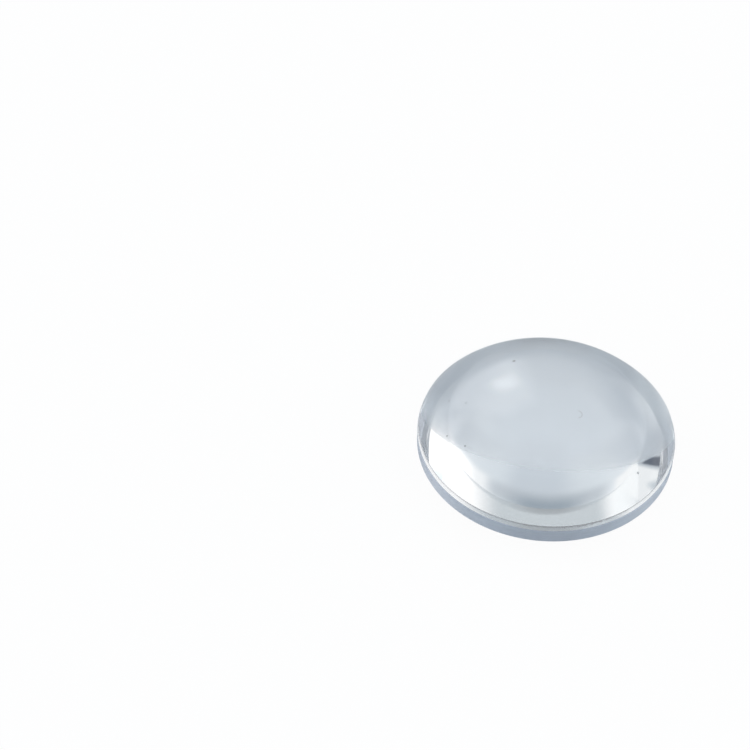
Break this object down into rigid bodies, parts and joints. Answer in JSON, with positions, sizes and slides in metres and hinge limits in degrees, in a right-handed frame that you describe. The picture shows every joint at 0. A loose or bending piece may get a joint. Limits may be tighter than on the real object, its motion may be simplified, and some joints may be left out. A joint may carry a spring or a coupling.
{
  "type": "double-convex condenser lens",
  "caption": "Round double-convex glass lens with a steep front face, a shallow back face and a fine-ground bevelled edge, for gathering or focusing light.",
  "frame": {"origin": "vertex of the shallow back face, on the optical axis, where the lens rests", "axes": "+Z along the optical axis, out of the steep front face"},
  "size_m": [0.05, 0.05, 0.0186],
  "materials": {
    "optical_glass": "clear crown glass, both faces polished, edge fine-ground"
  },
  "bodies": {
    "root": {"lens": "optical_glass"}
  },
  "joints": []
}
